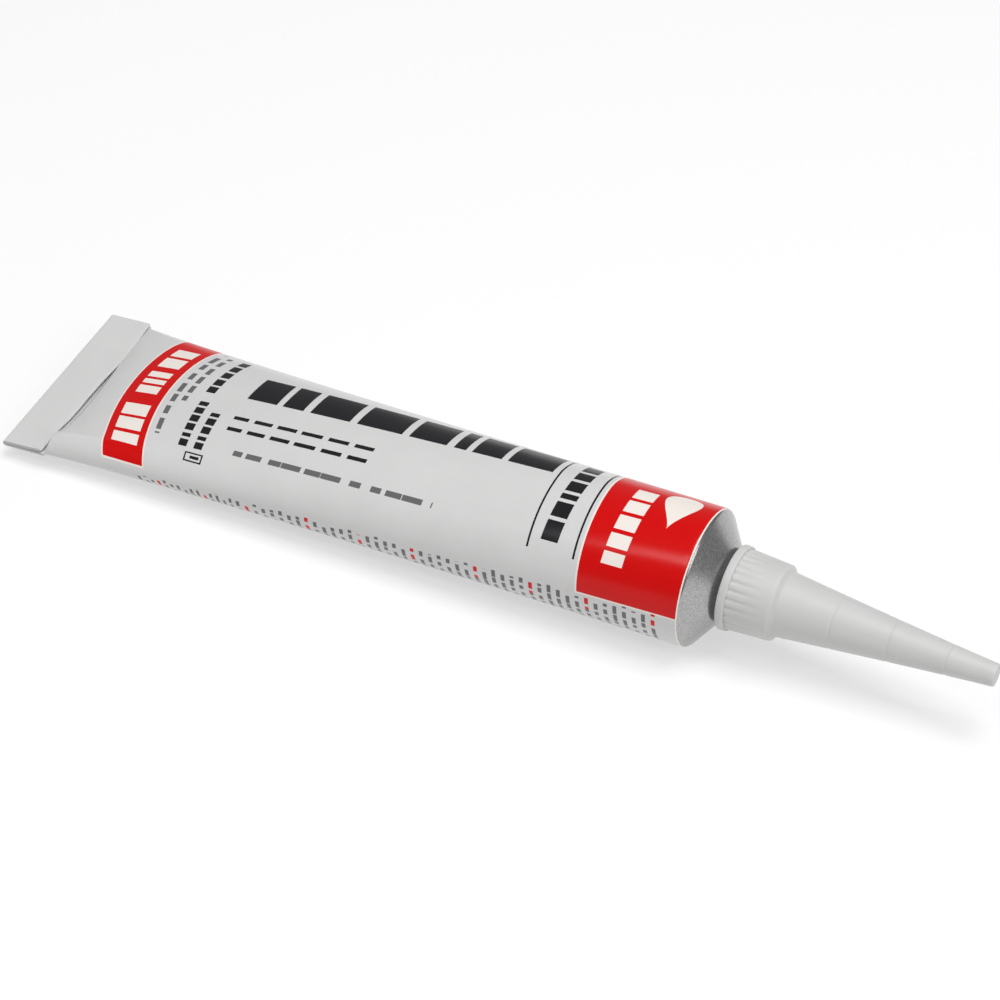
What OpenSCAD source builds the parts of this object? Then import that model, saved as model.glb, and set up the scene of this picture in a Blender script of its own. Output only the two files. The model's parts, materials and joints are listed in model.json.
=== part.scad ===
// Aluminium squeeze tube of silicone sealant with its screw-on nozzle, lying on its back.
// The tube runs from a round, shouldered end to a flat end that is folded over and crimped.
// +X points to the nozzle, +Z up, and the origin is under the middle of the object.

/* [Tube body] */
// Diameter of the round end
tube_d = 25; // [22:0.5:32]
// Length of the body, from the round end to the crimp
body_l = 125; // [100:1:160]
// How fast the body thins towards the crimp: a small value is a full tube
thinning = 0.48; // [0.38:0.01:0.6]
// Shape of the cross-section at the crimp: 2 is an ellipse, more is boxier
boxiness = 2.3; // [2:0.1:3]
// How far the crimp hangs below the axis of the round end
tail_drop = 4; // [2:0.1:6]
// Angle of the crimp out of square
crimp_skew = 3.2; // [0:0.2:5]
// Angle by which the crimp is twisted about the tube's axis
crimp_roll = 2.4; // [0:0.2:6]
// How high the body is puffed up beside the crimp, at its corner on the -Y side
corner_puff = 2.2; // [0.2:0.1:2.6]
// How far along the body that puffed corner runs
puff_reach = 34; // [20:1:50]
// How deep the belly is pressed flat where the filled tube lies on it
belly_press = 0.35; // [0.1:0.05:0.35]
// Thickness of the enamel, by which the printed body stands out beyond the bare metal
enamel_t = 0.03; // [0.02:0.01:0.08]

/* [Crimp] */
// Width of the folded band
band_w = 8.5; // [6:0.1:12]
// How far the crimp stands out beyond the body at each end
crimp_spread = 0.25; // [0.1:0.05:0.5]
// Thickness of the two tube walls pressed together
ply_t = 0.4; // [0.3:0.05:0.6]
// Thickness of the flap that is folded over them
flap_t = 0.6; // [0.5:0.05:0.9]
// Gap left between the flap and the walls under it
fold_gap = 0.12; // [0.1:0.01:0.2]
// How far the free edge of the flap has sprung up
flap_rise = 0.35; // [0.1:0.05:0.6]
// Gap between the edge of the flap and the body
flap_clear = 0.15; // [0.1:0.05:0.4]

/* [Shoulder and neck] */
// Radius where the body turns into the shoulder
rim_r = 1.1; // [0.5:0.1:1.6]
// Slope of the shoulder against the plane across the tube
shoulder_deg = 35; // [25:1:45]
// Width of the flat seat around the neck, on which the nozzle stops
seat_w = 0.5; // [0.4:0.1:1.2]
// Outer diameter of the neck over its thread
neck_d = 10.8; // [9:0.1:11]
// Length of the neck
neck_l = 8; // [6:0.5:9]
// Diameter of the opening in the neck
orifice_d = 6.4; // [5:0.1:7]
// Depth of the sealing skin below the end of the neck
orifice_depth = 0.8; // [0.4:0.1:2]

/* [Nozzle] */
// Diameter of the flange
flange_d = 15.2; // [15:0.1:17]
// Thickness of the flange
flange_l = 1.5; // [1:0.1:2.5]
// Diameter of the skirt behind the flange
skirt_rear_d = 14.4; // [14.2:0.1:14.8]
// Diameter of the skirt at its front
skirt_front_d = 13.5; // [13.2:0.1:14]
// Length of the skirt in front of the flange
skirt_l = 7.5; // [7:0.1:9]
// Length of the bevel in front of the skirt
bevel_l = 1; // [0.5:0.1:2]
// Diameter of the cone where it leaves the bevel
cone_d = 11.5; // [11:0.1:12.5]
// Length of the cone
cone_l = 37.5; // [30:0.5:60]
// Diameter of the blunt tip
tip_d = 4; // [3.4:0.1:5]
// How the cone thins: 1 is straight, more is hollow
cone_curve = 1.1; // [1:0.05:1.5]
// Number of cutting rings around the cone
cut_count = 3; // [1:1:5]
// Distance of the first cutting ring from the bevel
first_cut = 9.2; // [5:0.1:10]
// Distance from one cutting ring to the next
cut_pitch = 9.9; // [5:0.1:10]
// Width of a cutting ring
cut_w = 0.4; // [0.2:0.1:0.8]
// Depth of a cutting ring
cut_depth = 0.16; // [0.1:0.02:0.4]
// Number of grip flutes around the skirt
flute_count = 28; // [20:1:36]
// Depth of a flute at the flange
flute_depth = 0.25; // [0.1:0.05:0.4]
// Radius of the cutter that shapes a flute
flute_r = 0.55; // [0.4:0.05:0.8]
// Part of the skirt's length over which a flute runs out
flute_run = 0.8; // [0.5:0.05:1]
// Wall of the cone
cone_wall = 1.05; // [0.8:0.05:1.2]
// Thickness of the closed end of the tip
tip_wall = 1.2; // [0.8:0.1:3]
// Radial clearance between the neck and the nozzle
neck_fit = 0.2; // [0.1:0.05:0.3]
// Gap between the shoulder's seat and the flange
seat_gap = 0.05; // [0.02:0.01:0.2]

/* [Hidden] */
$fn = 96;

// Lofted body: cross-sections of one girth, closer together towards the crimp
stations = 30;
ring_points = 80;
tube_r = tube_d / 2;
quarter_girth = PI * tube_r / 2;
flat_half_t = ply_t / 2;
flat_half_w = half_width(flat_half_t, boxiness);
crimp_half_w = flat_half_w + crimp_spread;
end_half_t = ply_t / 4;
droop_power = 1.1;
twist_power = 2;
crimp_droop = atan(droop_power * tail_drop / body_l);

// Puffed corner: its ridge lies at a share of the half width, and it swells within a short way of the fold
puff_ridge = 0.83;
puff_swell = 1.5;
puff_fade = 1.5;
puff_rise = 6;

// Crimp section
band_t = ply_t + fold_gap + flap_t;
nose_r = band_t / 2;
nose_x = band_w - nose_r;
nose_z = nose_r - flat_half_t;
flap_run = nose_x - flap_clear - flap_t / 2;
flap_deg = atan(flap_rise / flap_run);
ply_root = 0.25;

// Shoulder and neck, as distances along the tube's axis from the end of the printed body
seat_d = neck_d + 2 * seat_w;
metal_r = tube_r - enamel_t;
rim_steps = 8;
cone_top_r = metal_r - rim_r * (1 - sin(shoulder_deg));
cone_top_x = rim_r * cos(shoulder_deg);
seat_x = cone_top_x + (cone_top_r - seat_d / 2) * tan(shoulder_deg);
neck_end_x = seat_x + neck_l;
neck_bevel = 0.5;

// Nozzle, as distances along its axis from the rear face of the flange
nozzle_x = seat_x + seat_gap;
skirt_end = flange_l + skirt_l;
cone_start = skirt_end + bevel_l;
nozzle_l = cone_start + cone_l;
bore_r = neck_d / 2 + neck_fit;
neck_room = 0.7;
bore_l = neck_l + neck_room;
channel_steps = 6;
through = 1;
tip_round = 0.3;
flange_round = 0.3;
flute_end = flange_l + skirt_l * flute_run;
flute_facets = 24;

// Resting pose: the belly bears on the ground under the point where the tube balances
body_stations = [for (i = [0:stations]) i];
slices = [for (i = [1:stations]) half_width_at(i) * half_thickness(i) * (station_x(i) - station_x(i - 1))];
balance_x = slices * [for (i = [1:stations]) station_x(i)] / (slices * [for (s = slices) 1]);
chords = [for (j = body_stations) for (k = body_stations)
    if (station_x(j) <= balance_x && station_x(k) > balance_x) [chord_z(j, k), j, k]];
lowest_z = min([for (c = chords) c[0]]);
bearing = [for (c = chords) if (c[0] == lowest_z) c][0];
rest_tilt = atan(chord_rise(bearing[1], bearing[2]));
rest_h = balance_x * sin(rest_tilt) - (lowest_z + belly_press) * cos(rest_tilt);
tip_rim = laid([nozzle_x + nozzle_l, 0, tip_round - tip_d / 2]);
far_fold = laid(crimp_point(nose_x, crimp_half_w, nose_z));
near_fold = laid(crimp_point(nose_x, -crimp_half_w, nose_z));
far_root = laid(crimp_point(-ply_root, crimp_half_w, -flat_half_t));
nose_reach = nose_r * norm([sin(crimp_skew), sin(crimp_roll)]);
mid_x = (tip_rim[0] + far_fold[0] - nose_r * cos(crimp_skew)) / 2;
mid_y = (far_root[1] + near_fold[1] - nose_reach) / 2;

function signed_power(v, p) = sign(v) * pow(abs(v), p);

// One cross-section: a superellipse of half width a, half thickness c and exponent n
function section_point(a, c, n, t) = [a * signed_power(cos(t), 2 / n), c * signed_power(sin(t), 2 / n)];

function quarter_length(a, c, n, steps = 24) =
    let (p = [for (i = [0:steps]) section_point(a, c, n, 90 * i / steps)],
         d = [for (i = [1:steps]) norm(p[i] - p[i - 1])],
         ones = [for (i = [1:steps]) 1])
    d * ones;

// Half width that keeps the girth of the round tube, found by halving the interval
function half_width(c, n, lo = 0, hi = 0, k = 18) =
    let (a = lo > 0 ? lo : tube_r / 2, b = hi > 0 ? hi : quarter_girth, m = (a + b) / 2)
    k == 0 ? m
    : quarter_length(m, c, n) < quarter_girth ? half_width(c, n, m, b, k - 1)
    : half_width(c, n, a, m, k - 1);

// Share of the body's length at station i: 0 at the round end, 1 at the crimp
function share(i) = 1 - pow(1 - i / stations, 2);
function station_x(i) = body_l * share(i);
function half_thickness(i) = end_half_t + (tube_r - end_half_t) * pow(1 - share(i), thinning);
function exponent(i) = 2 + (boxiness - 2) * share(i);
function half_width_at(i) = i == 0 ? tube_r : half_width(half_thickness(i), exponent(i));
function middle_z(i) = -tail_drop * pow(share(i), droop_power);
function belly_z(i) = middle_z(i) - half_thickness(i);

// Slope of the line under the belly from station j to station k, and its height under the balance point
function chord_rise(j, k) = (belly_z(k) - belly_z(j)) / (station_x(k) - station_x(j));
function chord_z(j, k) = belly_z(j) + chord_rise(j, k) * (balance_x - station_x(j));

function turn_x(v, a) = [v[0], v[1] * cos(a) - v[2] * sin(a), v[1] * sin(a) + v[2] * cos(a)];
function turn_y(v, a) = [v[0] * cos(a) + v[2] * sin(a), v[1], v[2] * cos(a) - v[0] * sin(a)];
function turn_z(v, a) = [v[0] * cos(a) - v[1] * sin(a), v[0] * sin(a) + v[1] * cos(a), v[2]];
function laid(v) = turn_y(v, -rest_tilt);

// A point of the crimp, from its distance behind the body, across the tube and above the middle of the walls
function crimp_point(along, across, up) = [-body_l, 0, -tail_drop]
    + turn_z(turn_y(turn_x([-along, across, up], crimp_roll), -crimp_droop), crimp_skew);

// Height of the ground below a point of the body, seen from the tube's own axis
function ground_z(x) = -(rest_h + x * sin(rest_tilt)) / cos(rest_tilt);

// How high the top of station i is puffed up, at a share w of the half width towards -Y
function puff(i, w) =
    let (to_fold = body_l - station_x(i),
         along = sqrt(min(1, to_fold / puff_swell)) * pow(max(0, 1 - to_fold / puff_reach), puff_fade),
         before = pow(max(0, w) / puff_ridge, puff_rise),
         beyond = sqrt(max(0, 1 - pow((w - puff_ridge) / (1 - puff_ridge), 2))))
    corner_puff * along * (w < puff_ridge ? before : beyond);

function ring(i) =
    let (a = half_width_at(i), c = half_thickness(i), twist = pow(share(i), twist_power))
    [for (k = [0:ring_points - 1])
        let (p = section_point(a, c, exponent(i), 360 * k / ring_points),
             swell = p[1] > 0 ? puff(i, -p[0] / a) : 0,
             q = turn_x([0, p[0], p[1] + swell], crimp_roll * twist),
             x = -station_x(i) - q[1] * tan(crimp_skew) * twist)
        [x, q[1], i == 0 ? q[2] : max(middle_z(i) + q[2], ground_z(x))]];

// Radius of the cone of the nozzle at a distance along its axis
function cone_r(x) =
    let (t = max(0, min(1, (x - cone_start) / cone_l)))
    tip_d / 2 + (cone_d - tip_d) / 2 * pow(1 - t, cone_curve);

module along_x() {
    rotate([0, 90, 0]) children();
}

module resting() {
    translate([-mid_x, -mid_y, rest_h]) rotate([0, -rest_tilt, 0]) children();
}

// The filled body, from the round end down to the two walls pressed flat
module filled_body() {
    rings = [for (i = [0:stations]) ring(i)];
    points = [for (r = rings) each r];
    n = ring_points;
    sides = [for (i = [0:stations - 1]) for (k = [0:n - 1])
        let (a = i * n + k, b = i * n + (k + 1) % n)
        each [[a, b, b + n], [a, b + n, a + n]]];
    front = [for (k = [n - 1:-1:0]) k];
    rear = [for (k = [0:n - 1]) stations * n + k];
    polyhedron(points, concat(sides, [front], [rear]), convexity = 4);
}

// Section of the crimp: the pressed walls run out and fold back, and the flap springs up a little
module fold_section() {
    difference() {
        union() {
            translate([-ply_root, -flat_half_t]) square([nose_x + ply_root, ply_t]);
            translate([nose_x, nose_z]) {
                circle(r = nose_r);
                rotate(-flap_deg) translate([-flap_run, nose_r - flap_t]) {
                    square([flap_run, flap_t]);
                    translate([0, flap_t / 2]) circle(d = flap_t);
                }
            }
        }
        translate([0, flat_half_t]) square([nose_x, fold_gap]);
    }
}

module crimp() {
    translate([-body_l, 0, -tail_drop])
        rotate([crimp_roll, -crimp_droop, crimp_skew])
            translate([0, crimp_half_w, 0])
                rotate([90, 0, 0])
                    mirror([1, 0])
                        linear_extrude(2 * crimp_half_w) fold_section();
}

// Rounded rim, shoulder, flat seat and neck, turned about the tube's axis
module shoulder() {
    rim_arc = [for (k = [0:rim_steps])
        let (a = k * (90 - shoulder_deg) / rim_steps)
        [metal_r - rim_r + rim_r * cos(a), rim_r * sin(a)]];
    outline = concat(
        [[0, 0]],
        rim_arc,
        [[seat_d / 2, seat_x],
         [neck_d / 2, seat_x],
         [neck_d / 2, neck_end_x - neck_bevel],
         [neck_d / 2 - neck_bevel, neck_end_x],
         [orifice_d / 2, neck_end_x],
         [orifice_d / 2, neck_end_x - orifice_depth],
         [0, neck_end_x - orifice_depth]]);
    along_x() rotate_extrude() polygon(outline);
}

module tube() {
    resting() {
        color("gainsboro") filled_body();
        color("gainsboro") crimp();
        color("silver") shoulder();
    }
}

// Outer line of the cone: a shallow groove at each cutting ring
function cut_line() = [for (j = [0:cut_count - 1])
    let (x = cone_start + first_cut + j * cut_pitch)
    each [[cone_r(x), x], [cone_r(x) - cut_depth, x + cut_w / 2], [cone_r(x + cut_w), x + cut_w]]];

module nozzle_blank() {
    outer = concat(
        [[0, 0], [flange_d / 2 - flange_round, 0], [flange_d / 2, flange_round],
         [flange_d / 2, flange_l - flange_round], [flange_d / 2 - flange_round, flange_l],
         [skirt_rear_d / 2, flange_l],
         [skirt_front_d / 2, skirt_end],
         [cone_d / 2, cone_start]],
        cut_line(),
        [[tip_d / 2, nozzle_l - tip_round],
         [tip_d / 2 - tip_round, nozzle_l],
         [0, nozzle_l]]);
    rotate_extrude() polygon(outer);
}

// Inside of the nozzle: the bore over the neck, then a channel that follows the cone
module nozzle_hollow() {
    channel = concat(
        [[0, -through], [bore_r, -through], [bore_r, bore_l]],
        [for (k = [0:channel_steps - 1])
            let (x = cone_start + k * cone_l / channel_steps)
            [cone_r(x) - cone_wall, x]],
        [[tip_d / 2 - cone_wall, nozzle_l - tip_wall], [0, nozzle_l - tip_wall]]);
    rotate_extrude() polygon(channel);
}

// A flute is cut by a slim rod that rises out of the tapered skirt
module flute() {
    rear = [skirt_rear_d / 2 + flute_r - flute_depth, flange_l];
    front = [skirt_rear_d / 2 + (skirt_front_d - skirt_rear_d) / 2 * flute_run + flute_r, flute_end];
    run = front - rear;
    translate([rear[0], 0, rear[1]])
        rotate([0, atan2(run[0], run[1]), 0])
            cylinder(r = flute_r, h = norm(run), $fn = flute_facets);
}

module nozzle() {
    color("whitesmoke") resting() translate([nozzle_x, 0, 0]) along_x()
        difference() {
            nozzle_blank();
            nozzle_hollow();
            for (i = [0:flute_count - 1]) rotate([0, 0, 360 * i / flute_count]) flute();
        }
}

tube();
nozzle();
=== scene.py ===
import json
import math

import bmesh
import bpy
import numpy as np
from mathutils import Matrix, Vector


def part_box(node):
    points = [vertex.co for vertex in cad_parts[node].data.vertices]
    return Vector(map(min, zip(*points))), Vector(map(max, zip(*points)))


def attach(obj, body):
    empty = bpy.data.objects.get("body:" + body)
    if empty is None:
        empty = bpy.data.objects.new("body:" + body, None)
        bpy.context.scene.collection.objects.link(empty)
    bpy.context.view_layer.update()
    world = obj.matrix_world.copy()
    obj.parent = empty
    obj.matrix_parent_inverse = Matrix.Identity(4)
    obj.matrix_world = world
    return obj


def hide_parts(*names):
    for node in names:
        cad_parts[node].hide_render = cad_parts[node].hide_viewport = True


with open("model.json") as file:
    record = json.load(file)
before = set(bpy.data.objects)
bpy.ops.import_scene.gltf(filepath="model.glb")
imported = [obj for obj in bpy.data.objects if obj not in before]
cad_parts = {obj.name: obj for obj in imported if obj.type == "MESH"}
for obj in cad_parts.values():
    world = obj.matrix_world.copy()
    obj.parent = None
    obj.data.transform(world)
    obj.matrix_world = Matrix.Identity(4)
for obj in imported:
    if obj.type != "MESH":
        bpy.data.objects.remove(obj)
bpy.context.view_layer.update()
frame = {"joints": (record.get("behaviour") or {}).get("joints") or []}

mm = 0.001  # pieces are shaped in millimetres along the tube's own axis, then laid into the frame
weld = 0.0005  # points closer than this, in millimetres, become one
uvSpan = 100  # millimetres round or along the tube for one whole step of its print map


# where the tube's axis lies, read from the frame: x runs to the nozzle, 0 is the end of the print
def axisPlace():
    slide = next(j for j in frame["joints"] if j["name"] == "nozzle_off")
    tilt = math.atan2(slide["axis"][2], slide["axis"][0])
    low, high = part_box("nozzle")
    # the solid nozzle's outermost points, at its tip and on its flange
    tipX, tipRadius, flangeX, flangeRadius = 52.723, 1.7, 6.423, 7.6
    x = high.x / mm - tipX * math.cos(tilt) - tipRadius * math.sin(tilt)
    z = high.z / mm - flangeX * math.sin(tilt) - flangeRadius * math.cos(tilt)
    y = (low.y + high.y) / 2 / mm
    return tilt, Vector((x, y, z))


tilt, axisStart = axisPlace()
layDown = Matrix.Scale(mm, 4) @ Matrix.Translation(axisStart) @ Matrix.Rotation(-tilt, 4, "Y")
print("frame loaded, tilt", round(math.degrees(tilt), 3), "start", [round(v, 3) for v in axisStart])


def finishPiece(bm, name, body, material, sharpDeg):
    bmesh.ops.transform(bm, matrix=layDown, verts=bm.verts)
    mesh = bpy.data.meshes.new(name)
    bm.to_mesh(mesh)
    bm.free()
    mesh.shade_smooth()
    mesh.set_sharp_from_angle(angle=math.radians(sharpDeg))
    piece = bpy.data.objects.new(name, mesh)
    bpy.context.scene.collection.objects.link(piece)
    mesh.materials.append(material)
    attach(piece, body)
    print(name, "has", len(mesh.polygons), "faces")
    return piece


# doubles merged, and every shell's faces turned outwards
def closeShell(bm):
    bmesh.ops.remove_doubles(bm, verts=bm.verts, dist=weld)
    bmesh.ops.recalc_face_normals(bm, faces=bm.faces)


# shader nodes, added and joined in one line each
class Shader:
    def __init__(self, name):
        self.material = bpy.data.materials.new(name)
        self.material.use_nodes = True
        self.tree = self.material.node_tree
        self.nodes = self.tree.nodes
        self.surface = self.nodes["Principled BSDF"]

    def join(self, value, socket):
        if isinstance(value, bpy.types.NodeSocket):
            self.tree.links.new(value, socket)
        else:
            socket.default_value = value

    # a value or a link for the surface's own socket
    def set(self, socket, value):
        self.join(value, self.surface.inputs[socket])

    def maths(self, operation, a, b=0.0, clamp=False):
        node = self.nodes.new("ShaderNodeMath")
        node.operation = operation
        node.use_clamp = clamp
        self.join(a, node.inputs[0])
        self.join(b, node.inputs[1])
        return node.outputs[0]

    def mix(self, factor, a, b):
        node = self.nodes.new("ShaderNodeMix")
        node.data_type = "RGBA"
        self.join(factor, node.inputs["Factor"])
        self.join(a, node.inputs["A"])
        self.join(b, node.inputs["B"])
        return node.outputs["Result"]

    def remap(self, value, fromLow, fromHigh, toLow, toHigh):
        node = self.nodes.new("ShaderNodeMapRange")
        for v, socket in zip((value, fromLow, fromHigh, toLow, toHigh), node.inputs):
            self.join(v, socket)
        return node.outputs[0]

    def noise(self, vector, scale, detail=2.0, roughness=0.5):
        node = self.nodes.new("ShaderNodeTexNoise")
        self.join(vector, node.inputs["Vector"])
        node.inputs["Scale"].default_value = scale
        node.inputs["Detail"].default_value = detail
        node.inputs["Roughness"].default_value = roughness
        return node.outputs["Fac"]

    # noise keeps to the middle of its range, so that part is what spreads from low to high
    def spread(self, noise, low, high):
        return self.remap(noise, 0.3, 0.7, low, high)

    def objectPlace(self):
        return self.nodes.new("ShaderNodeTexCoord").outputs["Object"]

    def printPlace(self):
        node = self.nodes.new("ShaderNodeUVMap")
        node.uv_map = "label"
        parts = self.nodes.new("ShaderNodeSeparateXYZ")
        self.join(node.outputs[0], parts.inputs[0])
        return [self.maths("MULTIPLY", part, uvSpan) for part in parts.outputs[:2]]

    def bump(self, height, strength, distance):
        node = self.nodes.new("ShaderNodeBump")
        node.inputs["Strength"].default_value = strength
        node.inputs["Distance"].default_value = distance
        self.join(height, node.inputs["Height"])
        self.set("Normal", node.outputs[0])


# camera at the photograph's angle
camera = {
    "place": (0.15836, -0.31464, 0.32752),
    "turnDeg": (48.216, -1.136, 27.497),
    "lens": 96.54,
    "sensor": 36,
    "clipStart": 0.01,
}


def makeCamera():
    data = bpy.data.cameras.new("camera")
    data.lens = camera["lens"]
    data.sensor_width = camera["sensor"]
    data.clip_start = camera["clipStart"]
    obj = bpy.data.objects.new("camera", data)
    obj.location = camera["place"]
    obj.rotation_euler = [math.radians(a) for a in camera["turnDeg"]]
    bpy.context.scene.collection.objects.link(obj)
    bpy.context.scene.camera = obj


# the squeezed body: sections of one girth from the round end to the flat end
tubeBody = {
    "radius": 12.5,
    "length": 125,
    "thinning": 0.48,  # power of the taper: the lower, the longer the body stays full
    "boxiness": 2.3,  # power of the section at the flat end: 2 is an ellipse
    "tailDrop": 4,
    "droopPower": 1.1,
    "skewDeg": 3.2,
    "rollDeg": 2.4,
    "twistPower": 2,
    "endHalf": 0.1,  # half the body's thickness where it meets the fold
    "around": 240,
    "rows": 220,
    "measurePoints": 1440,
    "searchPoints": 96,
    "searches": 20,
    "creaseBow": 0.9,  # how far the crease beside the fold bows towards the nozzle
    "creaseAt": -0.2,
    "creaseHalf": 0.9,
    "creaseReach": 9,
    "rimRound": 1.1,
    "enamelLip": 0.5,  # the enamel ends this far round the rim
    "lipSteps": 6,
    "lipInside": ((0.2, 0.3), (0.48, 0.25)),  # how far forward, and how deep under the wall
}
puff = {
    "height": 2.2,  # the full corner beside the fold
    "reach": 34,
    "ridge": 0.83,
    "swell": 0.8,
    "fade": 1.5,
    "rise": 6,
}
girth = 2 * math.pi * tubeBody["radius"]


def superellipse(a, c, n, steps):
    t = np.linspace(0, 2 * np.pi, steps + 1) - np.pi / 2
    y = a * np.sign(np.cos(t)) * np.abs(np.cos(t)) ** (2 / n)
    z = c * np.sign(np.sin(t)) * np.abs(np.sin(t)) ** (2 / n)
    return y, z


# the half width that gives a section of this half height the tube's own girth
def halfWidth(c, n):
    low, high = tubeBody["radius"] / 2, girth / 4
    for _ in range(tubeBody["searches"]):
        middle = (low + high) / 2
        y, z = superellipse(middle, c, n, tubeBody["searchPoints"])
        if np.hypot(np.diff(y), np.diff(z)).sum() < girth:
            low = middle
        else:
            high = middle
    return (low + high) / 2


# one section sampled at equal steps round its girth, starting under the belly
def sectionPoints(share):
    b = tubeBody
    c = b["endHalf"] + (b["radius"] - b["endHalf"]) * (1 - share) ** b["thinning"]
    n = 2 + (b["boxiness"] - 2) * share
    half = b["radius"] if share == 0 else halfWidth(c, n)
    y, z = superellipse(half, c, n, b["measurePoints"])
    run = np.concatenate([[0], np.cumsum(np.hypot(np.diff(y), np.diff(z)))])
    wanted = np.linspace(0, run[-1], b["around"] + 1)
    return np.interp(wanted, run, y), np.interp(wanted, run, z), half


def groundZ(x):
    return -(axisStart.z + x * math.sin(tilt)) / math.cos(tilt)


# how far the corner beside the fold stands up, w from 0 in the middle to 1 at the near side
def puffHeight(toFold, w):
    p = puff
    along = math.sqrt(min(1, toFold / p["swell"])) * max(0, 1 - toFold / p["reach"]) ** p["fade"]
    if w < p["ridge"]:
        across = (max(0, w) / p["ridge"]) ** p["rise"]
    else:
        across = math.sqrt(max(0, 1 - ((w - p["ridge"]) / (1 - p["ridge"])) ** 2))
    return p["height"] * along * across


# 1 in the middle of a stretch across the fold, easing to 0 at both its ends
def stretch(w, middle, half):
    return max(0, 1 - ((w - middle) / half) ** 2) ** 1.5


# the crease beside the fold bows towards the nozzle, most of all just past its middle
def creaseBow(w):
    b = tubeBody
    return b["creaseBow"] * stretch(w, b["creaseAt"], b["creaseHalf"])


def bodyPlace(share, y, z, half):
    b = tubeBody
    twist = share ** b["twistPower"]
    roll = math.radians(b["rollDeg"]) * twist
    toFold = b["length"] * (1 - share)
    bow = creaseBow(y / half) * max(0, 1 - toFold / b["creaseReach"]) ** 2
    if z > 0:
        z += puffHeight(toFold, -y / half)
    y, z = y * math.cos(roll) - z * math.sin(roll), y * math.sin(roll) + z * math.cos(roll)
    x = -b["length"] * share - y * math.tan(math.radians(b["skewDeg"])) * twist + bow
    z -= b["tailDrop"] * share ** b["droopPower"]
    return Vector((x, y, max(z, groundZ(x)) if share > 0 else z))


# the enamel's front edge, lapped a little way round the rim: (x, radius), from the inside out
def enamelEdge():
    b = tubeBody
    edge = [(x, b["radius"] - deep) for x, deep in b["lipInside"]]
    for i in range(b["lipSteps"]):
        x = b["enamelLip"] * (1 - i / b["lipSteps"])
        edge.append((x, b["radius"] - b["rimRound"] + math.sqrt(b["rimRound"] ** 2 - x * x)))
    return edge


# a grid wrapped round the tube, closed along the belly and at both ends
def buildTube(material):
    b = tubeBody
    edge = enamelEdge()
    shares = [1 - (1 - i / b["rows"]) ** 2 for i in range(b["rows"] + 1)]  # closer towards the fold
    total = len(edge) + len(shares)
    turns = [2 * math.pi * k / b["around"] for k in range(b["around"] + 1)]
    bm = bmesh.new()
    bmesh.ops.create_grid(bm, x_segments=b["around"], y_segments=total - 1, size=1)
    uv = bm.loops.layers.uv.new("label")
    rows = {}
    for v in bm.verts:
        rows.setdefault(round((v.co.y + 1) / 2 * (total - 1)), []).append(v)
    spot = {}
    for row in sorted(rows):
        if row < len(edge):
            x, radius = edge[row]
            places = [Vector((x, radius * math.sin(t), -radius * math.cos(t))) for t in turns]
            along = -x
        else:
            share = shares[row - len(edge)]
            ys, zs, half = sectionPoints(share)
            places = [bodyPlace(share, y, z, half) for y, z in zip(ys, zs)]
            along = b["length"] * share
        for k, v in enumerate(sorted(rows[row], key=lambda v: v.co.x)):
            v.co = places[k]
            spot[v] = (turns[k] * b["radius"] - girth / 2, along)
    for face in bm.faces:
        for loop in face.loops:
            arc, along = spot[loop.vert]
            loop[uv].uv = (arc / uvSpan, along / uvSpan)
    bmesh.ops.remove_doubles(bm, verts=bm.verts, dist=weld)
    bmesh.ops.holes_fill(bm, edges=[e for e in bm.edges if e.is_boundary], sides=0)
    bmesh.ops.recalc_face_normals(bm, faces=bm.faces)
    piece = finishPiece(bm, "tubeSkin", "tube_body", material, sharpDeg=50)
    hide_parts("tube")


fold = {
    "width": 8.5,
    "spread": 0.25,  # pressed out past the flattened body at both ends
    "wall": 0.4,
    "flap": 0.6,
    "gap": 0.12,
    "clear": 0.15,
    "root": 0.25,
    "rootReach": 2,  # behind this the walls under the flap no longer follow the crease
    "rise": 0.4,  # how far the flap's free edge springs up in the open stretch
    "endRise": 0.06,
    # places across the fold are shares of its half width, 0 in the middle and 1 at the near end
    "openAt": 0.0,
    "openHalf": 0.55,
    "openBack": 0.12,  # there the edge stands back from the body, and elsewhere it laps on to it
    "lap": 0.3,
    "lapFrom": 0.35,  # here the lap starts to run out towards the near end
    "lapRun": 0.4,
    "nearBack": 0.05,
    "cornerFrom": 0.94,
    "cornerCurl": 0.2,
    "cornerBack": 0.1,
    "cuts": 160,
    "runSteps": 12,
    "noseSteps": 14,
    "edgeSteps": 8,
}


# the folded end's outline seen from its near end: back along the walls, round the nose, forward
# over them as the flap, and back again inside the slot; each point is (behind, up, share of flap)
def foldOutline():
    f = fold
    half = f["wall"] / 2
    noseR = (f["wall"] + f["gap"] + f["flap"]) / 2
    nose = f["width"] - noseR
    free = f["clear"] + f["flap"] / 2
    flapHalf = f["flap"] / 2
    flapUp = half + f["gap"] + flapHalf

    def run(start, end, up, partStart=0, partEnd=0):
        points = []
        for i in range(f["runSteps"] + 1):
            t = i / f["runSteps"]
            points.append((start + (end - start) * t, up, partStart + (partEnd - partStart) * t))
        return points

    outline = run(-f["root"], nose, -half)
    for i in range(1, f["noseSteps"]):
        a = math.pi * i / f["noseSteps"]
        outline.append((nose + noseR * math.sin(a), noseR - half - noseR * math.cos(a), 0))
    outline += run(nose, free, flapUp + flapHalf, 0, 1)
    for i in range(1, f["edgeSteps"]):
        a = math.pi * i / f["edgeSteps"]
        outline.append((free - flapHalf * math.sin(a), flapUp + flapHalf * math.cos(a), 1))
    outline += run(free, nose, flapUp - flapHalf, 1, 0)
    outline.append((nose + f["gap"] / 2, half + f["gap"] / 2, 0))
    return outline + run(nose, -f["root"], half)


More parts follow.
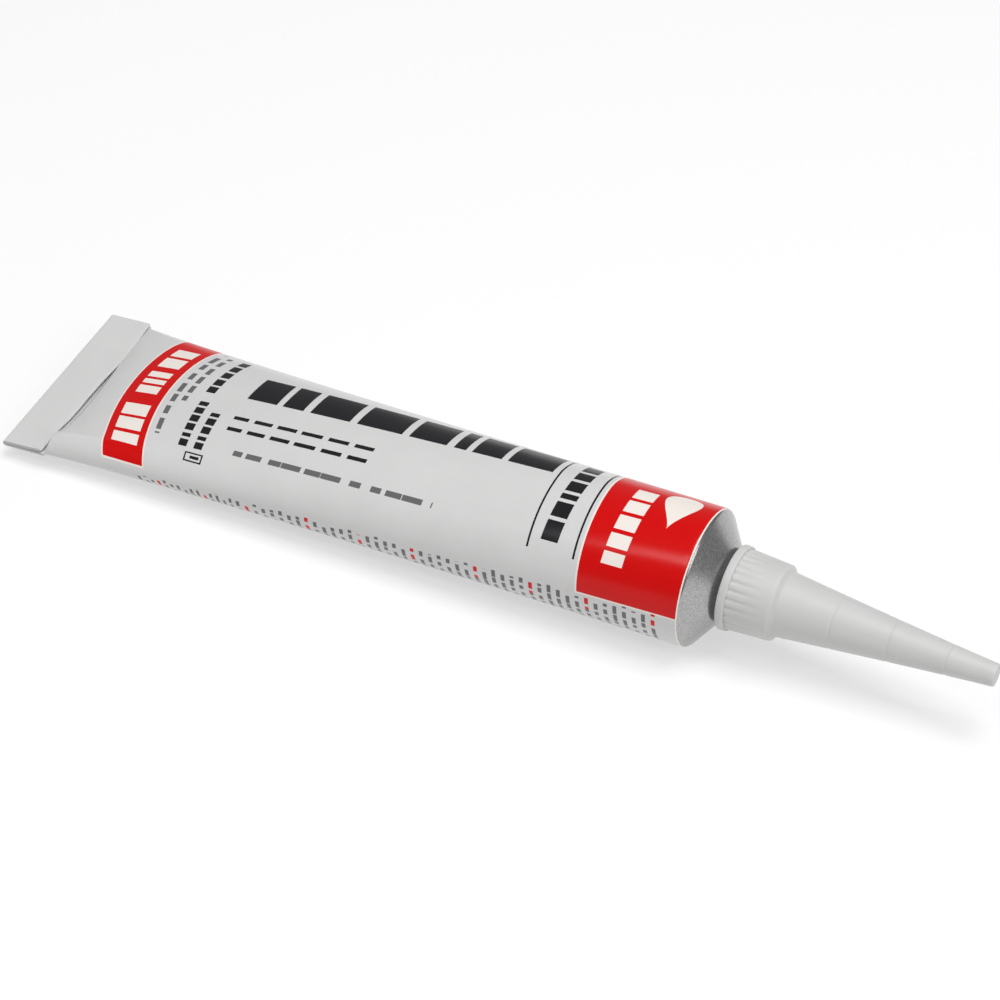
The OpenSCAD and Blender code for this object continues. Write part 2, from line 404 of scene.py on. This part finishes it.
# the outline pushed from the near end to the far end, cut across, and its flap shaped
def buildFold(material, cutMaterial):
    f, b = fold, tubeBody
    half = halfWidth(f["wall"] / 2, b["boxiness"]) + f["spread"]
    bm = bmesh.new()
    flapShare = bm.verts.layers.float.new("flapShare")
    corners = []
    for behind, up, part in foldOutline():
        v = bm.verts.new((-behind, -half, up))
        v[flapShare] = part
        corners.append(v)
    face = bm.faces.new(corners)
    pushed = bmesh.ops.extrude_face_region(bm, geom=[face], use_keep_orig=True)["geom"]
    far = [v for v in pushed if isinstance(v, bmesh.types.BMVert)]
    bmesh.ops.translate(bm, verts=far, vec=(0, 2 * half, 0))
    long = [e for e in bm.edges if abs(e.verts[0].co.y - e.verts[1].co.y) > half]
    bmesh.ops.subdivide_edges(bm, edges=long, cuts=f["cuts"], use_grid_fill=False)
    for v in bm.verts:
        w = -v.co.y / half
        behind = -v.co.x
        part = v[flapShare]
        bow = creaseBow(w)
        opened = stretch(w, f["openAt"], f["openHalf"])
        rise = f["endRise"] + (f["rise"] - f["endRise"]) * opened
        corner = max(0, (w - f["cornerFrom"]) / (1 - f["cornerFrom"])) ** 2
        runOut = min(1, max(0, (w - f["lapFrom"]) / f["lapRun"]))
        lap = f["lap"] - (f["lap"] + f["nearBack"]) * runOut
        v.co.z += rise * part + f["cornerCurl"] * corner * part ** 4
        if part > 0:
            v.co.x += (bow + lap - (lap + f["openBack"]) * opened) * part ** 1.5
            v.co.x -= f["cornerBack"] * corner * part ** 2
        elif behind < f["rootReach"] and v.co.z < f["wall"]:
            v.co.x += bow * (1 - max(0, behind) / f["rootReach"])
    bmesh.ops.recalc_face_normals(bm, faces=bm.faces)
    uv = bm.loops.layers.uv.new("label")
    for face in bm.faces:
        face.material_index = 1 if abs(face.normal.y) > 0.9 else 0  # bare metal on the two cut ends
        for loop in face.loops:
            place = loop.vert.co
            # past the end of the body, where the print map is plain enamel
            loop[uv].uv = (-place.y / uvSpan, (b["length"] + 1 - place.x) / uvSpan)
    droop = math.atan(b["droopPower"] * b["tailDrop"] / b["length"])
    foldPlace = (
        Matrix.Translation((-b["length"], 0, -b["tailDrop"]))
        @ Matrix.Rotation(math.radians(b["skewDeg"]), 4, "Z")
        @ Matrix.Rotation(-droop, 4, "Y")
        @ Matrix.Rotation(math.radians(b["rollDeg"]), 4, "X")
    )
    bmesh.ops.transform(bm, matrix=foldPlace, verts=bm.verts)
    piece = finishPiece(bm, "tubeFold", "tube_body", material, sharpDeg=50)
    piece.data.materials.append(cutMaterial)


# part of a round about (x, r) on a turned profile: 0 points along the axis and 90 away from it
def roundPoints(x, r, radius, fromDeg, toDeg, steps):
    turns = [math.radians(fromDeg + (toDeg - fromDeg) * i / steps) for i in range(steps + 1)]
    return [(x + radius * math.cos(t), r + radius * math.sin(t)) for t in turns]


# turned pieces: a profile of (distance along the axis, radius) spun about the axis
def spinProfile(bm, profile, steps):
    verts = [bm.verts.new((x, 0, r)) for x, r in profile]
    edges = [bm.edges.new(pair) for pair in zip(verts, verts[1:])]
    bmesh.ops.spin(
        bm, geom=verts + edges, cent=(0, 0, 0), axis=(1, 0, 0), dvec=(0, 0, 0),
        angle=2 * math.pi, steps=steps, use_merge=True, use_duplicate=False,
    )


shoulder = {
    "metalRadius": 12.47,
    "rimRound": 1.1,
    "rimSteps": 12,
    "slopeDeg": 35,
    "slopeSteps": 8,
    "seatRadius": 5.9,
    "neckRoot": 4.85,
    "neckLength": 8,
    "neckBevel": 0.5,
    "orificeRadius": 3.2,
    "orificeDepth": 0.8,
    "threadStart": 1.0,
    "threadSink": 0.05,
    "threadCrest": 5.4,
    "threadRootHalf": 0.5,
    "threadCrestHalf": 0.15,
    "threadPitch": 1.5,
    "threadTurns": 4.2,
    "threadSteps": 64,
    "steps": 192,
}


# a ridge wound round the neck: its section is drawn once and screwed along
def threadRidge(bm, start):
    s = shoulder
    root, crest = s["neckRoot"] - s["threadSink"], s["threadCrest"]
    wide, thin = s["threadRootHalf"], s["threadCrestHalf"]
    section = [(-wide, root), (-thin, crest), (thin, crest), (wide, root)]
    verts = [bm.verts.new((start + x, 0, r)) for x, r in section]
    face = bm.faces.new(verts)
    bmesh.ops.spin(
        bm, geom=[face] + list(face.edges) + verts, cent=(0, 0, 0), axis=(1, 0, 0),
        dvec=(s["threadPitch"] / s["threadSteps"], 0, 0), angle=2 * math.pi * s["threadTurns"],
        steps=round(s["threadSteps"] * s["threadTurns"]), use_merge=False, use_duplicate=False,
    )


def buildShoulder(material):
    s = shoulder
    rimR = s["metalRadius"] - s["rimRound"]
    profile = [(0, 0)] + roundPoints(0, rimR, s["rimRound"], 90, s["slopeDeg"], s["rimSteps"])
    topX, topR = profile[-1]
    slopeR = s["seatRadius"] - topR
    seatX = topX - slopeR * math.tan(math.radians(s["slopeDeg"]))
    for i in range(1, s["slopeSteps"] + 1):
        t = i / s["slopeSteps"]
        profile.append((topX + (seatX - topX) * t, topR + slopeR * t))
    neckEnd = seatX + s["neckLength"]
    profile += [
        (seatX, s["neckRoot"]),
        (neckEnd - s["neckBevel"], s["neckRoot"]),
        (neckEnd, s["neckRoot"] - s["neckBevel"]),
        (neckEnd, s["orificeRadius"]),
        (neckEnd - s["orificeDepth"], s["orificeRadius"]),
        (neckEnd - s["orificeDepth"], 0),
    ]
    bm = bmesh.new()
    spinProfile(bm, profile, s["steps"])
    closeShell(bm)
    threadRidge(bm, seatX + s["threadStart"])
    bmesh.ops.recalc_face_normals(bm, faces=bm.faces)
    finishPiece(bm, "tubeShoulder", "tube_body", material, sharpDeg=30)


nozzle = {
    "start": 5.223,
    "edgeRound": 0.3,
    "edgeSteps": 4,
    "flangeRadius": 7.6,
    "flangeLength": 1.5,
    "skirtRear": 7.2,
    "skirtFront": 6.75,
    "skirtLength": 7.5,
    "skirtSteps": 16,
    "bevelLength": 1.0,
    "bevelShares": (0.12, 0.3, 0.5, 0.7, 0.88, 1.0),
    "coneRadius": 5.75,
    "coneLength": 37.5,
    "coneCurve": 1.1,
    "coneRows": 60,
    "tipRadius": 2.0,
    "tipSteps": 5,
    "firstCut": 9.2,
    "cutPitch": 9.9,
    "cuts": 3,
    "cutWidth": 0.4,
    "cutDepth": 0.09,
    "cutLip": 0.04,
    "cutLead": 0.05,
    "cutFloor": 0.06,
    "cutClear": 0.48,
    "flutes": 28,
    "fluteDepth": 0.22,
    "fluteRun": 0.8,
    "fluteSwing": 0.75,
    "fluteSharp": 1.3,
    "stepsPerFlute": 8,
    "boreRadius": 5.6,
    "boreLength": 8.7,
    "wall": 1.05,
    "tipWall": 1.2,
    "channelSteps": 6,
}


def coneRadius(along):
    n = nozzle
    t = min(1, max(0, along / n["coneLength"]))
    return n["tipRadius"] + (n["coneRadius"] - n["tipRadius"]) * (1 - t) ** n["coneCurve"]


# (along the cone, radius): even rows, and a shallow ring where each cutting mark is
def coneProfile():
    n = nozzle
    width, lead, deep = n["cutWidth"], n["cutLead"], n["cutDepth"]
    cuts = [n["firstCut"] + i * n["cutPitch"] for i in range(n["cuts"])]
    alongs = [n["coneLength"] * i / n["coneRows"] for i in range(1, n["coneRows"])]
    alongs = [a for a in alongs if all(abs(a - c - width / 2) > n["cutClear"] for c in cuts)]
    marks = [(a, coneRadius(a)) for a in alongs]
    # each point of a ring: how far past its start, where the cone's radius is taken, how deep
    ring = (
        (-lead, 0, 0),
        (0, 0, n["cutLip"]),
        (width / 2 - n["cutFloor"], 0, deep),
        (width / 2 + n["cutFloor"], 0, deep),
        (width, width, n["cutLip"]),
        (width + lead, width + lead, 0),
    )
    for c in cuts:
        marks += [(c + past, coneRadius(c + taken) - down) for past, taken, down in ring]
    return sorted(marks)


def buildNozzle(material):
    n = nozzle
    flangeEnd, flangeR, edge = n["flangeLength"], n["flangeRadius"], n["edgeRound"]
    skirtEnd = flangeEnd + n["skirtLength"]
    coneStart = skirtEnd + n["bevelLength"]
    length = coneStart + n["coneLength"]
    mouth = (0, n["boreRadius"])

    outside = [mouth]
    outside += roundPoints(edge, flangeR - edge, edge, 180, 90, n["edgeSteps"])
    outside += roundPoints(flangeEnd - edge, flangeR - edge, edge, 90, 0, n["edgeSteps"])
    for i in range(n["skirtSteps"] + 1):
        t = i / n["skirtSteps"]
        taper = (n["skirtFront"] - n["skirtRear"]) * t
        outside.append((flangeEnd + n["skirtLength"] * t, n["skirtRear"] + taper))
    # a soft bevel from the skirt down to the cone
    for t in n["bevelShares"]:
        drop = (n["skirtFront"] - n["coneRadius"]) * (1 - t * t * (3 - 2 * t))
        outside.append((skirtEnd + n["bevelLength"] * t, n["coneRadius"] + drop))
    outside += [(coneStart + a, r) for a, r in coneProfile()]
    outside += roundPoints(length - edge, n["tipRadius"] - edge, edge, 90, 0, n["tipSteps"])
    outside.append((length, 0))

    boreEnd = length - n["tipWall"]
    inside = [(boreEnd, 0), (boreEnd, n["tipRadius"] - n["wall"])]
    for i in range(1, n["channelSteps"] + 1):
        a = n["coneLength"] * (1 - i / n["channelSteps"])
        inside.append((coneStart + a, coneRadius(a) - n["wall"]))
    inside += [(n["boreLength"], n["boreRadius"]), mouth]

    steps = n["flutes"] * n["stepsPerFlute"]
    bm = bmesh.new()
    spinProfile(bm, outside, steps)
    spinProfile(bm, inside, steps)
    closeShell(bm)
    # flutes pressed into the skirt, running out before its front edge
    slack = 0.02
    for v in bm.verts:
        x, r = v.co.x, math.hypot(v.co.y, v.co.z)
        onSkirt = flangeEnd - slack <= x <= skirtEnd + slack
        if onSkirt and n["skirtFront"] - slack < r < n["skirtRear"] + slack:
            run = (x - flangeEnd) / (n["skirtLength"] * n["fluteRun"])
            turn = math.atan2(v.co.y, v.co.z) * n["flutes"]
            wave = 1 - n["fluteSwing"] * (1 - math.cos(turn))
            depth = n["fluteDepth"] * max(0, 1 - run) * max(0, wave) ** n["fluteSharp"]
            v.co.y *= (r - depth) / r
            v.co.z *= (r - depth) / r
    bmesh.ops.translate(bm, verts=bm.verts, vec=(n["start"], 0, 0))
    piece = finishPiece(bm, "nozzleCone", "nozzle_body", material, sharpDeg=32)
    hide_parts("nozzle")


# the print: plain fields, bars and dashes, all in millimetres. An arc is measured round the tube
# from the middle of its top towards the near side, and an along from the print's front edge back
label = {
    "enamel": (0.615, 0.615, 0.612, 1),
    "red": (0.60, 0.0012, 0.0012, 1),
    "cream": (0.82, 0.76, 0.71, 1),
    "black": (0.012, 0.012, 0.014, 1),
    "grey": (0.13, 0.13, 0.135, 1),
    "bend": 0.0111,  # the print curves with the wall near the fold
    "bendMiddle": -3,
    "bendFrom": 85,
    "bendRun": 20,
    "lean": 0.055,  # the block and the two lines lean a little
    "leanFrom": -4,
    "outline": 0.32,  # pale edge of the red fields
    "rimLine": -0.28,  # pale from here round the rim
    # fields: arc from, to, along from, to
    "band": (-26, 17.9, 108.8, 117.4),
    "block": (-26, 19, -3, 18.9),
    "frame": (12.9, 14.8, 94.4, 98.8),
    "frameHole": (13.2, 14.5, 94.75, 98.45),
    "frameDot": (13.55, 14.15, 95.2, 97.4),
    # two lines across: along from, to; both end at one arc
    "lines": ((28.6, 28.98), (19.95, 20.33)),
    "linesEnd": 13.3,
    # bars set out round the tube: along from, to, arc from, to, then bars and gaps by turns
    "paleBars": (
        (110.6, 115.4, -13.5, 1.2, (2.6, 0.8, 3.1, 1.6, 1.7, 0.7, 1.3, 0.7, 2.2)),
        (110.2, 115.8, 4.4, 14.6, (3.0, 0.7, 3.0, 0.9, 2.6)),
        (10.6, 14.5, -4.4, 12.5, (3.1, 0.8, 2.9, 0.8, 2.9, 0.8, 2.6, 0.8, 2.3)),
    ),
    "roundBars": (
        (99.5, 101.5, -14.4, -2.1, (2.0, 0.6, 2.1, 0.6, 2.0, 0.6, 2.0, 0.5, 1.9)),
        (99.0, 101.0, 0.6, 12, (1.2, 0.5, 1.6, 0.5, 1.7, 0.5, 1.7, 0.7, 0.9, 0.5, 1.6)),
        (95.3, 97.3, 3, 12, (1.0, 0.5, 1.7, 0.5, 1.7, 0.7, 0.9, 0.5, 1.5)),
        (22.9, 26.1, -9, 11.4, (3.2, 0.7, 2.4, 0.7, 2.6, 0.7, 1.2, 0.7, 2.9, 0.7, 3.6)),
    ),
    # bars set out along it: arc from, to, along from, to, then bars and gaps by turns
    "longBars": (
        (-9.9, -2.6, 30.3, 92.7,
         (8.6, 1.3, 5.8, 1.3, 2.4, 1.6, 7.6, 1.4, 9.4, 1.4, 8.2, 1.5, 4.4, 1.3, 6.5)),
        (2.6, 3.5, 62.8, 92.3, (3.9, 1.2, 4.2, 1.2, 4.4, 1.1, 4.0, 1.2, 3.8, 1.2, 3.3)),
        (5.5, 6.4, 62.8, 92.3, (3.9, 1.2, 4.2, 1.2, 4.4, 1.1, 4.0, 1.2, 3.8, 1.2, 3.3)),
    ),
    # uneven dashes in the same way, with their pitch, filled share and seed at the end
    "roundDashes": (
        (106.1, 107.2, -15.7, 10.6, 3.4, 0.68, 3),
        (103.9, 105.0, -14.5, 1.8, 3.1, 0.7, 5),
    ),
    "longDashes": ((10.4, 11.5, 47.2, 90, 4.1, 0.74, 9),),
    "uneven": 0.25,
}
drop = {
    "arc": -1.4,
    "half": 5.1,
    "along": 5.8,
    "wide": 3.3,
    "full": 1.69,
}
# columns of dashes low on both sides
columns = {
    "from": 3.4,
    "to": 113.5,
    "pitch": 1.75,
    "fill": 0.42,
    "near": (19.3, 36.5),
    "far": (-36.5, -27.5),
    "ragged": 0.8,  # the near ones start unevenly, by this much
    "raggedStep": 0.37,
    "shift": 0.77,
    "dash": (2.3, 0.7),  # pitch and filled share
    "redShare": 0.17,  # this share of them starts with red
    "redStep": 0.157,
    "redStart": 0.05,
    "redEnd": 23,
}
enamel = {
    "cloud": 140,
    "shade": (0.985, 1.015),
    "wear": 1100,
    "rough": (0.20, 0.25),
    "dents": 60,
    "dentStrength": 0.5,
    "dentDepth": 0.0006,
    "gloss": 0.22,
}


def enamelMaterial():
    p = label
    s = Shader("printedEnamel")
    arc, along = s.printPlace()
    off = s.maths("SUBTRACT", arc, p["bendMiddle"])
    bend = s.maths("MULTIPLY", s.maths("MULTIPLY", off, off), p["bend"])
    near = s.maths("SUBTRACT", along, p["bendFrom"])
    near = s.maths("MULTIPLY", near, 1 / p["bendRun"], clamp=True)
    along = s.maths("ADD", along, s.maths("MULTIPLY", bend, near))
    lean = s.maths("MULTIPLY", s.maths("MAXIMUM", arc, p["leanFrom"]), p["lean"])
    leaning = s.maths("ADD", along, lean)

    # masks: 1 where the ink goes, 0 elsewhere
    def below(value, limit):
        return s.maths("LESS_THAN", value, limit)

    def above(value, limit):
        return s.maths("GREATER_THAN", value, limit)

    def span(value, low, high):
        fromMiddle = s.maths("SUBTRACT", value, (low + high) / 2)
        return below(s.maths("ABSOLUTE", fromMiddle), (high - low) / 2)

    def both(first, *others):
        for mask in others:
            first = s.maths("MULTIPLY", first, mask)
        return first

    def either(first, *others):
        for mask in others:
            first = s.maths("MAXIMUM", first, mask)
        return first

    def field(edges, grow=0.0, value=along):
        arcLow, arcHigh, low, high = edges
        return both(span(arc, arcLow - grow, arcHigh + grow), span(value, low - grow, high + grow))

    # bars of given lengths and gaps, as one stepped ramp
    def bars(value, low, high, lengths):
        node = s.nodes.new("ShaderNodeValToRGB")
        s.join(s.remap(value, low, high, 0, 1), node.inputs[0])
        ramp = node.color_ramp
        ramp.interpolation = "CONSTANT"
        at = 0
        for i, length in enumerate(lengths):
            shade = 1.0 if i % 2 == 0 else 0.0
            stop = ramp.elements[0] if i == 0 else ramp.elements.new(at / sum(lengths))
            stop.color = (shade, shade, shade, 1)
            at += length
        return both(span(value, low, high), above(node.outputs[0], 0.5))

    def barRows(across, value, rows):
        return [both(span(across, row[0], row[1]), bars(value, *row[2:])) for row in rows]

    def dashes(value, pitch, fill, seed):
        cell = s.maths("DIVIDE", value, pitch)
        pair = s.nodes.new("ShaderNodeCombineXYZ")
        s.join(s.maths("FLOOR", cell), pair.inputs[0])
        s.join(seed, pair.inputs[1])
        key = s.nodes.new("ShaderNodeTexWhiteNoise")
        key.noise_dimensions = "2D"
        s.join(pair.outputs[0], key.inputs["Vector"])
        length = s.remap(key.outputs["Value"], 0, 1, fill - p["uneven"], fill + p["uneven"])
        return below(s.maths("FRACT", cell), length)

    def dashRows(across, value, rows):
        return [
            both(span(across, row[0], row[1]), span(value, row[2], row[3]), dashes(value, *row[4:]))
            for row in rows
        ]

    def paint(colour, mask, ink):
        return s.mix(mask, colour, p[ink])

    # the band beside the fold and the block at the round end, with their pale outlines
    outlines = either(field(p["band"], p["outline"]), field(p["block"], p["outline"], leaning))
    colour = paint(p["enamel"], outlines, "cream")
    colour = paint(colour, either(field(p["band"]), field(p["block"], value=leaning)), "red")

    # a plain drop: the wider, the nearer to its blunt end
    reach = s.maths("DIVIDE", s.maths("SUBTRACT", arc, drop["arc"]), drop["half"])
    side = s.maths("DIVIDE", s.maths("SUBTRACT", along, drop["along"]), drop["wide"])
    blunt = s.maths("MAXIMUM", s.maths("SUBTRACT", 1, reach), 0)
    point = s.maths("MAXIMUM", s.maths("ADD", 1, reach), 0)
    width = s.maths("MULTIPLY", s.maths("POWER", blunt, 3), point)
    dropMask = above(width, s.maths("MULTIPLY", s.maths("MULTIPLY", side, side), drop["full"]))
    pale = either(dropMask, below(along, p["rimLine"]), *barRows(along, arc, p["paleBars"]))
    colour = paint(colour, pale, "cream")

    frameMask = s.maths("SUBTRACT", field(p["frame"]), field(p["frameHole"]))
    lines = either(*[span(leaning, low, high) for low, high in p["lines"]])
    dark = either(
        frameMask,
        field(p["frameDot"]),
        both(lines, below(arc, p["linesEnd"])),
        *barRows(along, arc, p["roundBars"]),
        *barRows(arc, along, p["longBars"]),
    )
    colour = paint(colour, dark, "black")

    c = columns
    column = s.maths("DIVIDE", s.maths("SUBTRACT", along, c["from"]), c["pitch"])
    rank = s.maths("FLOOR", column)
    shifted = s.maths("ADD", arc, s.maths("MULTIPLY", rank, c["shift"]))
    ragged = s.maths("FRACT", s.maths("MULTIPLY", rank, c["raggedStep"]))
    nearEdge = s.maths("ADD", c["near"][0], s.maths("MULTIPLY", ragged, c["ragged"]))
    nearSide = both(above(arc, nearEdge), below(arc, c["near"][1]))
    small = both(
        below(s.maths("FRACT", column), c["fill"]),
        span(along, c["from"], c["to"]),
        dashes(shifted, *c["dash"], rank),
        either(nearSide, span(arc, *c["far"])),
    )
    grey = either(
        small,
        *dashRows(along, arc, p["roundDashes"]),
        *dashRows(arc, along, p["longDashes"]),
    )
    colour = paint(colour, grey, "grey")
    pick = s.maths("ADD", s.maths("MULTIPLY", rank, c["redStep"]), c["redStart"])
    head = both(small, below(s.maths("FRACT", pick), c["redShare"]), below(arc, c["redEnd"]))
    colour = paint(colour, head, "red")

    # the enamel itself: faintly clouded, gently dented, a little uneven in its gloss
    e = enamel
    place = s.objectPlace()
    tint = s.nodes.new("ShaderNodeVectorMath")
    tint.operation = "SCALE"
    s.join(colour, tint.inputs[0])
    s.join(s.spread(s.noise(place, e["cloud"], detail=3), *e["shade"]), tint.inputs["Scale"])
    s.set("Base Color", tint.outputs[0])
    s.set("Roughness", s.spread(s.noise(place, e["wear"], detail=4, roughness=0.65), *e["rough"]))
    s.set("Specular IOR Level", e["gloss"])
    s.bump(s.noise(place, e["dents"], detail=1, roughness=0.3), e["dentStrength"], e["dentDepth"])
    return s.material


cutMetal = {
    "dark": (0.30, 0.30, 0.30, 1),
    "light": (0.55, 0.55, 0.55, 1),
    "grain": 3000,
    "metallic": 0.6,
    "rough": (0.35, 0.5),
    "bumpStrength": 0.3,
    "bumpDepth": 0.00003,
}


def cutMetalMaterial():
    m = cutMetal
    s = Shader("cutMetalEdge")
    fine = s.noise(s.objectPlace(), m["grain"], detail=3, roughness=0.6)
    s.set("Base Color", s.mix(fine, m["dark"], m["light"]))
    s.set("Metallic", m["metallic"])
    s.set("Roughness", s.spread(fine, *m["rough"]))
    s.bump(fine, m["bumpStrength"], m["bumpDepth"])
    return s.material


aluminium = {
    "dark": (0.30, 0.30, 0.30, 1),
    "light": (0.50, 0.50, 0.50, 1),
    "speckle": 3800,
    "grain": 1300,
    "rough": (0.19, 0.27),
    "bumpStrength": 0.12,
    "bumpDepth": 0.00003,
}


def aluminiumMaterial():
    m = aluminium
    s = Shader("bareAluminium")
    place = s.objectPlace()
    speckle = s.spread(s.noise(place, m["speckle"], detail=3, roughness=0.6), 0, 1)
    grain = s.noise(place, m["grain"])
    s.set("Base Color", s.mix(speckle, m["dark"], m["light"]))
    s.set("Metallic", 1)
    s.set("Roughness", s.spread(grain, *m["rough"]))
    s.bump(grain, m["bumpStrength"], m["bumpDepth"])
    return s.material


nozzlePlastic = {
    "dark": (0.535, 0.535, 0.53, 1),
    "light": (0.575, 0.575, 0.57, 1),
    "cloud": 160,
    "rough": (0.40, 0.5),
    "soft": 0.25,
    "softRadius": (0.0015, 0.0015, 0.0014),
    "gloss": 0.35,
    "grain": 2200,
    "bumpStrength": 0.08,
    "bumpDepth": 0.00002,
}


def nozzleMaterial():
    m = nozzlePlastic
    s = Shader("nozzlePlastic")
    place = s.objectPlace()
    cloud = s.noise(place, m["cloud"], detail=3)
    s.set("Base Color", s.mix(cloud, m["dark"], m["light"]))
    s.set("Roughness", s.spread(cloud, *m["rough"]))
    s.set("Subsurface Weight", m["soft"])
    s.set("Subsurface Radius", m["softRadius"])
    s.set("Subsurface Scale", 1)
    s.set("Specular IOR Level", m["gloss"])
    s.bump(s.noise(place, m["grain"]), m["bumpStrength"], m["bumpDepth"])
    return s.material


room = {
    "floorSize": 6,
    "floorGap": 0.00002,  # keeps the floor from lying in the pressed belly's own plane
    "floorColour": (0.92, 0.92, 0.92, 1),
    "floorRough": 0.9,
    "floorGloss": 0.1,
    "ownWhite": 0.55,
    "worldStrength": 0.31,
    # each lamp's place, side and watts, all turned to the tube
    "lamps": {
        "keySoftbox": ((0.15, 0.0, 0.85), 0.45, 4.9),
        "sideSoftbox": ((0.75, -0.1, 0.5), 0.5, 1.4),
        "nearSoftbox": ((-0.2, -0.42, 0.77), 0.2, 1.1),
    },
}


def makeFloor():
    bm = bmesh.new()
    bmesh.ops.create_grid(bm, x_segments=1, y_segments=1, size=room["floorSize"] / 2)
    bmesh.ops.translate(bm, verts=bm.verts, vec=(0, 0, -room["floorGap"]))
    mesh = bpy.data.meshes.new("floor")
    bm.to_mesh(mesh)
    bm.free()
    floor = bpy.data.objects.new("floor", mesh)
    bpy.context.scene.collection.objects.link(floor)
    s = Shader("floorPaper")
    s.set("Base Color", room["floorColour"])
    s.set("Roughness", room["floorRough"])
    s.set("Specular IOR Level", room["floorGloss"])
    # the paper looks white to the camera and in reflections, and lights the tube as plain paper
    glow = s.nodes.new("ShaderNodeEmission")
    glow.inputs["Strength"].default_value = 1
    path = s.nodes.new("ShaderNodeLightPath")
    seen = s.maths("MAXIMUM", path.outputs["Is Camera Ray"], path.outputs["Is Glossy Ray"])
    seen = s.maths("MAXIMUM", seen, path.outputs["Is Transmission Ray"])
    blend = s.nodes.new("ShaderNodeMixShader")
    s.join(s.maths("MULTIPLY", seen, room["ownWhite"]), blend.inputs[0])
    s.join(s.surface.outputs[0], blend.inputs[1])
    s.join(glow.outputs[0], blend.inputs[2])
    s.join(blend.outputs[0], s.nodes["Material Output"].inputs["Surface"])
    mesh.materials.append(s.material)


def makeLight():
    world = bpy.data.worlds.new("studio")
    bpy.context.scene.world = world
    world.use_nodes = True
    back = world.node_tree.nodes["Background"]
    back.inputs["Color"].default_value = (1, 1, 1, 1)
    back.inputs["Strength"].default_value = room["worldStrength"]
    for name, (place, size, watts) in room["lamps"].items():
        lamp = bpy.data.lights.new(name, "AREA")
        lamp.shape = "SQUARE"
        lamp.size = size
        lamp.energy = watts
        obj = bpy.data.objects.new(name, lamp)
        obj.location = place
        obj.rotation_euler = (-Vector(place)).to_track_quat("-Z", "Y").to_euler()
        bpy.context.scene.collection.objects.link(obj)


makeCamera()
makeFloor()
makeLight()
bpy.context.scene.view_settings.view_transform = "Standard"
print("camera, floor and light set")

printedEnamel = enamelMaterial()
print("enamel and its print mixed")
buildTube(printedEnamel)
buildFold(printedEnamel, cutMetalMaterial())
buildShoulder(aluminiumMaterial())
buildNozzle(nozzleMaterial())
print("pieces built")
